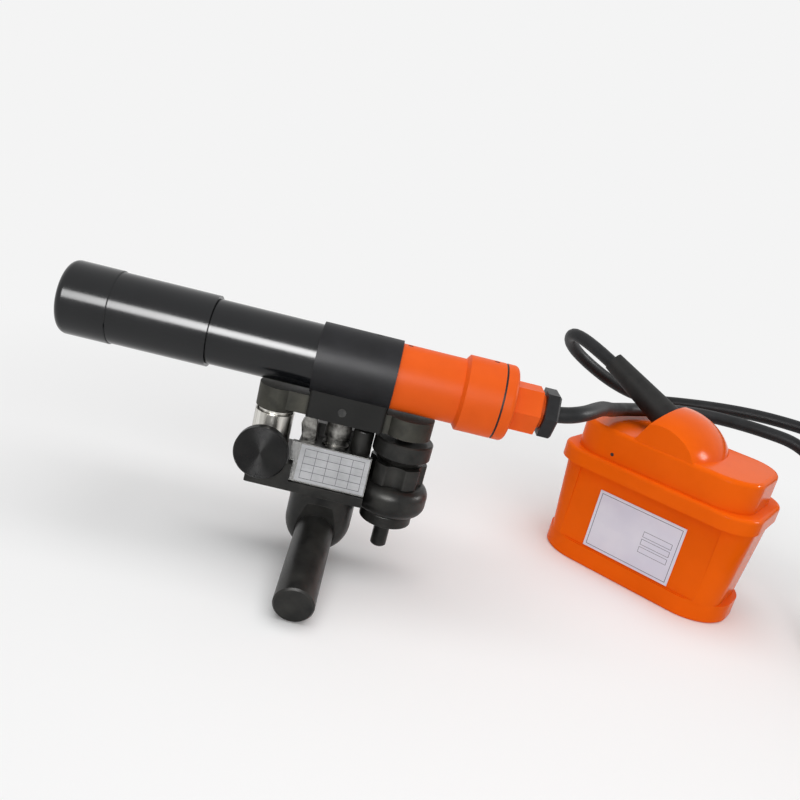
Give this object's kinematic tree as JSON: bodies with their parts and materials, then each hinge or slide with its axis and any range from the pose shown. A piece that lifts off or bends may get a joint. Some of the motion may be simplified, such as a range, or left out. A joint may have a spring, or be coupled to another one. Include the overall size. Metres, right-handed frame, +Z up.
{
  "type": "laser direction indicator",
  "caption": "Tube laser pointer for setting out mine headings, on a two-axis screw-adjusted rod mount, with a cable to its separate battery box.",
  "frame": {"origin": "centre of the mounting rod's shoulder, where the rod seats on the ball end of the turning boss", "axes": "+X along the laser tube towards its cable end, +Z up along the turning axis; the rod points towards -Y, canted 10 degrees down"},
  "size_m": [0.772, 0.3613, 0.1907],
  "materials": {
    "black_anodised": "glossy black anodised",
    "black_collar": "matte black anodised",
    "orange_paint": "glossy orange paint",
    "orange_plastic": "moulded, slightly glossy",
    "black_oxide": "satin black oxide",
    "bright_steel": "turned",
    "zinc": "zinc plated",
    "silver_plate": "satin sheet",
    "paper_plate": "printed film, left blank",
    "rubber": "satin rubber",
    "black_plastic": "satin moulded",
    "glass": "polished and coated",
    "brass": "turned",
    "board": "circuit board",
    "cell": "sleeved battery cell"
  },
  "bodies": {
    "base": {"mounting_rod": "black_oxide", "turning_boss": "black_oxide", "retainer_washer": "zinc", "retainer_screw": "zinc", "tangent_arm": "black_oxide", "battery_case": "orange_plastic", "battery_nameplate": "paper_plate", "lid_gasket": "orange_plastic", "battery_lid": "orange_plastic", "lid_screw": "zinc", "cable_boot": "rubber", "battery_cells": "cell", "cable_laser_run": "rubber", "cable_coil": "rubber", "cable_battery_run": "rubber", "coil_tie": "black_plastic"},
    "swivel": {"swivel_bar": "black_oxide", "nameplate": "silver_plate", "pivot_post": "zinc", "stop_post_left": "zinc", "stop_post_right": "black_oxide", "spring_tower": "bright_steel", "pressure_spring": "bright_steel"},
    "azimuth_drive": {"azimuth_knob": "black_oxide", "azimuth_screw": "bright_steel", "screw_retainer": "zinc"},
    "elevation_drive": {"elevation_handwheel": "black_oxide", "retaining_collar": "black_oxide"},
    "jack": {"jack_screw": "black_oxide"},
    "lock": {"lock_ring": "black_oxide"},
    "cradle": {"cradle_arm": "black_oxide", "trunnion_pin": "zinc", "collar_bolts": "zinc", "spring_cup": "bright_steel", "tube_collar": "black_collar", "mid_tube": "black_anodised", "rear_housing": "orange_paint", "rear_cap": "orange_paint", "cap_seal": "rubber", "driver_board": "board", "gland_body": "orange_paint", "gland_seal": "rubber", "gland_nut": "black_plastic", "set_screws": "zinc", "laser_module": "brass", "module_rings": "black_collar"},
    "focus": {"front_barrel": "black_anodised", "front_ring": "black_anodised", "front_window": "glass"},
    "lens": {"lens_cell": "black_collar", "objective_lens": "glass"}
  },
  "joints": [
    {"name": "azimuth_turn", "type": "hinge", "parent": "base", "child": "swivel", "pos_m": [0, 0.01871, 0.05], "axis": [0, 0, 1], "range_deg": [-2.5, 2.5], "deforming": ["cable_laser_run"]},
    {"name": "azimuth_knob_turn", "type": "hinge", "parent": "swivel", "child": "azimuth_drive", "pos_m": [-0.048, 0.01871, 0.0575], "axis": [0, -1, 0], "range_deg": [-760, 760]},
    {"name": "elevation_tilt", "type": "hinge", "parent": "swivel", "child": "cradle", "pos_m": [0, 0.01871, 0.0928], "axis": [0, 1, 0], "range_deg": [-2.4, 2.4], "deforming": ["cable_laser_run", "pressure_spring"]},
    {"name": "elevation_wheel_turn", "type": "hinge", "parent": "swivel", "child": "elevation_drive", "pos_m": [0.0482, 0.01871, 0.06], "axis": [0, 0, 1], "range_deg": [-490, 490]},
    {"name": "jack_slide", "type": "slide", "parent": "swivel", "child": "jack", "axis": [0, 0, 1], "range_m": [-0.0021, 0.0021]},
    {"name": "lock_turn", "type": "hinge", "parent": "swivel", "child": "lock", "pos_m": [0.0482, 0.01871, 0.055], "axis": [0, 0, 1], "range_deg": [-45, 45]},
    {"name": "focus_turn", "type": "hinge", "parent": "cradle", "child": "focus", "pos_m": [-0.135, 0.01871, 0.1243], "axis": [1, 0, 0], "range_deg": [-135, 135]},
    {"name": "lens_slide", "type": "slide", "parent": "cradle", "child": "lens", "axis": [1, 0, 0], "range_m": [-0.0016, 0.0016]}
  ],
  "couplings": [
    {"joint": "azimuth_knob_turn", "follows": "azimuth_turn", "ratio": 301.59},
    {"joint": "elevation_wheel_turn", "follows": "elevation_tilt", "ratio": 201.9},
    {"joint": "jack_slide", "follows": "elevation_tilt", "m_per_rad": -0.0482},
    {"joint": "lens_slide", "follows": "focus_turn", "m_per_rad": 0.00063662}
  ]
}
